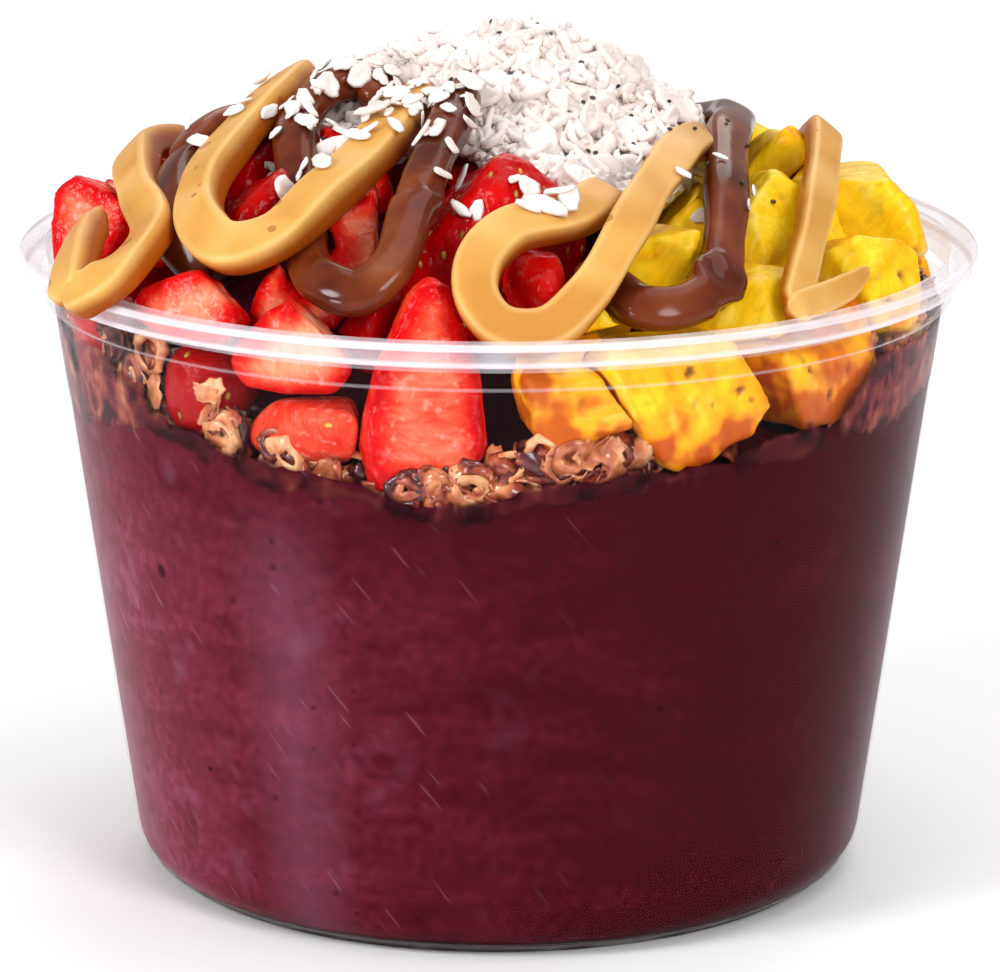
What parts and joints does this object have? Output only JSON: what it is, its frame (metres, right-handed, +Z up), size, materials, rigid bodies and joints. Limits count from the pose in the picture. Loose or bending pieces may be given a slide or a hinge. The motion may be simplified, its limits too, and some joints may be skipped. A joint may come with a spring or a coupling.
{
  "type": "acai bowl",
  "caption": "Acai bowl in a clear round deli cup, heaped over the rim with cut strawberries and pineapple, drizzled with peanut butter and chocolate and topped with coconut.",
  "frame": {"origin": "middle of the cup's foot, on the surface it stands on", "axes": "+Z up; -Y is the front; +X is the pineapple side and -X the strawberry side"},
  "size_m": [0.117, 0.117, 0.103],
  "materials": {
    "cup": "clear thin polypropylene, slightly hazy",
    "acai": "frozen acai puree, moist burgundy purple",
    "peanut_butter": "smooth peanut butter, satin",
    "chocolate": "milk chocolate spread, glossy",
    "strawberry": "wet red skin, paler flesh on cut faces",
    "pineapple": "wet yellow flesh",
    "granola": "toasted oat and coconut chips, damp",
    "coconut": "white shredded coconut"
  },
  "bodies": {
    "root": {"cup": "cup", "acai": "acai", "peanut_butter_left": "peanut_butter", "peanut_butter_right": "peanut_butter", "chocolate_left": "chocolate", "chocolate_middle": "chocolate", "chocolate_right": "chocolate", "chocolate_back": "chocolate", "strawberry_01": "strawberry", "strawberry_02": "strawberry", "strawberry_03": "strawberry", "strawberry_04": "strawberry", "strawberry_05": "strawberry", "strawberry_06": "strawberry", "strawberry_07": "strawberry", "strawberry_08": "strawberry", "strawberry_09": "strawberry", "strawberry_10": "strawberry", "strawberry_11": "strawberry", "strawberry_12": "strawberry", "strawberry_13": "strawberry", "strawberry_14": "strawberry", "strawberry_15": "strawberry", "strawberry_16": "strawberry", "strawberry_17": "strawberry", "strawberry_18": "strawberry", "strawberry_19": "strawberry", "strawberry_20": "strawberry", "strawberry_21": "strawberry", "strawberry_22": "strawberry", "strawberry_23": "strawberry", "strawberry_24": "strawberry", "strawberry_25": "strawberry", "pineapple_01": "pineapple", "pineapple_02": "pineapple", "pineapple_03": "pineapple", "pineapple_04": "pineapple", "pineapple_05": "pineapple", "pineapple_06": "pineapple", "pineapple_07": "pineapple", "pineapple_08": "pineapple", "pineapple_09": "pineapple", "pineapple_10": "pineapple", "pineapple_11": "pineapple", "pineapple_12": "pineapple", "pineapple_13": "pineapple", "pineapple_14": "pineapple", "pineapple_15": "pineapple", "pineapple_16": "pineapple", "pineapple_17": "pineapple", "pineapple_18": "pineapple", "granola_front": "granola", "granola_left": "granola", "granola_right": "granola", "granola_back": "granola", "coconut": "coconut"}
  },
  "joints": []
}
